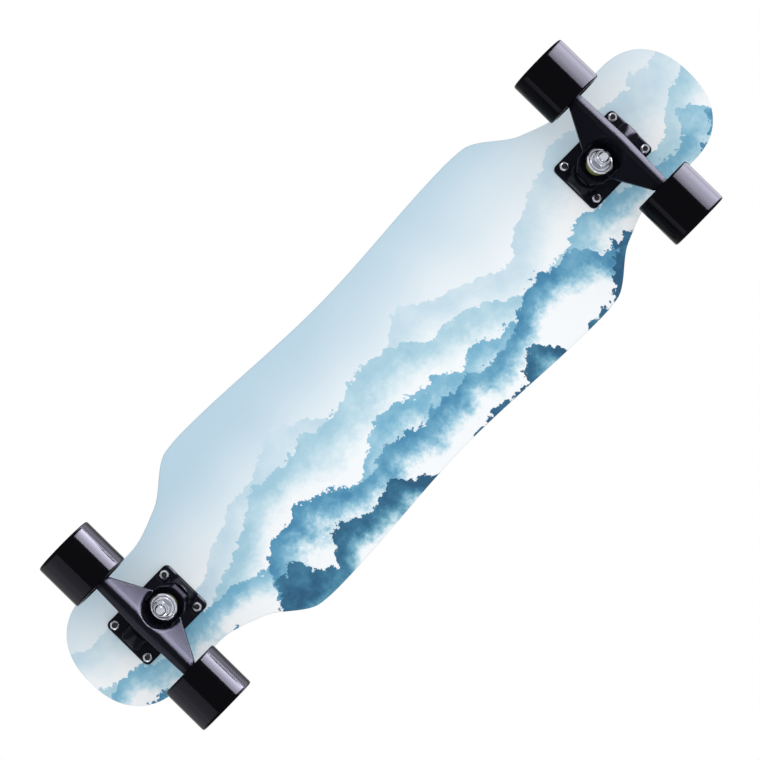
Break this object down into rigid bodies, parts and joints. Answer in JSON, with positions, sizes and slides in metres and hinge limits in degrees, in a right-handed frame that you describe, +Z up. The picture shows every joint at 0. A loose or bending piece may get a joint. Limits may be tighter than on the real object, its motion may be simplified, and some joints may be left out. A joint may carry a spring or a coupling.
{
  "type": "longboard",
  "caption": "Cut-out maple longboard on two traditional kingpin trucks with soft black urethane wheels.",
  "frame": {"origin": "on the ground, under the middle of the deck", "axes": "+X along the deck to the nose, +Y to the rider's left, +Z up"},
  "size_m": [0.78, 0.2046, 0.1009],
  "materials": {
    "deck_wood": "laminated maple with a lacquered pale blue misty print underneath",
    "grip_tape": "black grit",
    "truck_black": "cast aluminium with satin black paint",
    "zinc_steel": "bright zinc-plated steel",
    "bolt_black": "black oxide steel",
    "bearing_steel": "ground bearing steel",
    "bushing_urethane": "olive urethane, slightly glossy",
    "cup_urethane": "black urethane",
    "wheel_urethane": "smooth black urethane with a soft gloss"
  },
  "bodies": {
    "board": {"deck": "deck_wood", "grip_tape": "grip_tape", "front_baseplate": "truck_black", "front_pivot_cup": "cup_urethane", "front_kingpin": "zinc_steel", "front_boardside_bushing": "bushing_urethane", "front_roadside_bushing": "bushing_urethane", "front_roadside_washer": "zinc_steel", "front_kingpin_nut": "zinc_steel", "front_bolt_outer_left": "bolt_black", "front_bolt_nut_outer_left": "zinc_steel", "front_bolt_outer_right": "bolt_black", "front_bolt_nut_outer_right": "zinc_steel", "front_bolt_inner_left": "bolt_black", "front_bolt_nut_inner_left": "zinc_steel", "front_bolt_inner_right": "bolt_black", "front_bolt_nut_inner_right": "zinc_steel", "rear_baseplate": "truck_black", "rear_pivot_cup": "cup_urethane", "rear_kingpin": "zinc_steel", "rear_boardside_bushing": "bushing_urethane", "rear_roadside_bushing": "bushing_urethane", "rear_roadside_washer": "zinc_steel", "rear_kingpin_nut": "zinc_steel", "rear_bolt_outer_left": "bolt_black", "rear_bolt_nut_outer_left": "zinc_steel", "rear_bolt_outer_right": "bolt_black", "rear_bolt_nut_outer_right": "zinc_steel", "rear_bolt_inner_left": "bolt_black", "rear_bolt_nut_inner_left": "zinc_steel", "rear_bolt_inner_right": "bolt_black", "rear_bolt_nut_inner_right": "zinc_steel"},
    "front_hanger": {"front_hanger": "truck_black", "front_axle": "zinc_steel", "front_axle_nut_left": "zinc_steel", "front_bearing_sleeve_inner_left": "bearing_steel", "front_bearing_sleeve_outer_left": "bearing_steel", "front_axle_nut_right": "zinc_steel", "front_bearing_sleeve_inner_right": "bearing_steel", "front_bearing_sleeve_outer_right": "bearing_steel"},
    "front_left_wheel": {"front_wheel_left": "wheel_urethane", "front_bearing_race_inner_left": "bearing_steel", "front_bearing_race_outer_left": "bearing_steel"},
    "front_right_wheel": {"front_wheel_right": "wheel_urethane", "front_bearing_race_inner_right": "bearing_steel", "front_bearing_race_outer_right": "bearing_steel"},
    "rear_hanger": {"rear_hanger": "truck_black", "rear_axle": "zinc_steel", "rear_axle_nut_left": "zinc_steel", "rear_bearing_sleeve_inner_left": "bearing_steel", "rear_bearing_sleeve_outer_left": "bearing_steel", "rear_axle_nut_right": "zinc_steel", "rear_bearing_sleeve_inner_right": "bearing_steel", "rear_bearing_sleeve_outer_right": "bearing_steel"},
    "rear_left_wheel": {"rear_wheel_left": "wheel_urethane", "rear_bearing_race_inner_left": "bearing_steel", "rear_bearing_race_outer_left": "bearing_steel"},
    "rear_right_wheel": {"rear_wheel_right": "wheel_urethane", "rear_bearing_race_inner_right": "bearing_steel", "rear_bearing_race_outer_right": "bearing_steel"}
  },
  "joints": [
    {"name": "front_steer", "type": "hinge", "parent": "board", "child": "front_hanger", "pos_m": [0.25987, 0, 0.0481], "axis": [0.9397, 0, 0.342], "range_deg": [-15, 15], "stiffness_Nm_per_rad": 60, "deforming": ["front_boardside_bushing", "front_roadside_bushing"]},
    {"name": "front_left_wheel_spin", "type": "hinge", "parent": "front_hanger", "child": "front_left_wheel", "pos_m": [0.2879, 0.0783, 0.03], "axis": [0, 1, 0], "continuous": true},
    {"name": "front_right_wheel_spin", "type": "hinge", "parent": "front_hanger", "child": "front_right_wheel", "pos_m": [0.2879, -0.0783, 0.03], "axis": [0, 1, 0], "continuous": true},
    {"name": "rear_steer", "type": "hinge", "parent": "board", "child": "rear_hanger", "pos_m": [-0.28886, 0, 0.0481], "axis": [-0.9397, 0, 0.342], "range_deg": [-15, 15], "stiffness_Nm_per_rad": 60, "deforming": ["rear_boardside_bushing", "rear_roadside_bushing"]},
    {"name": "rear_left_wheel_spin", "type": "hinge", "parent": "rear_hanger", "child": "rear_left_wheel", "pos_m": [-0.3169, 0.0783, 0.03], "axis": [0, 1, 0], "continuous": true},
    {"name": "rear_right_wheel_spin", "type": "hinge", "parent": "rear_hanger", "child": "rear_right_wheel", "pos_m": [-0.3169, -0.0783, 0.03], "axis": [0, 1, 0], "continuous": true}
  ]
}
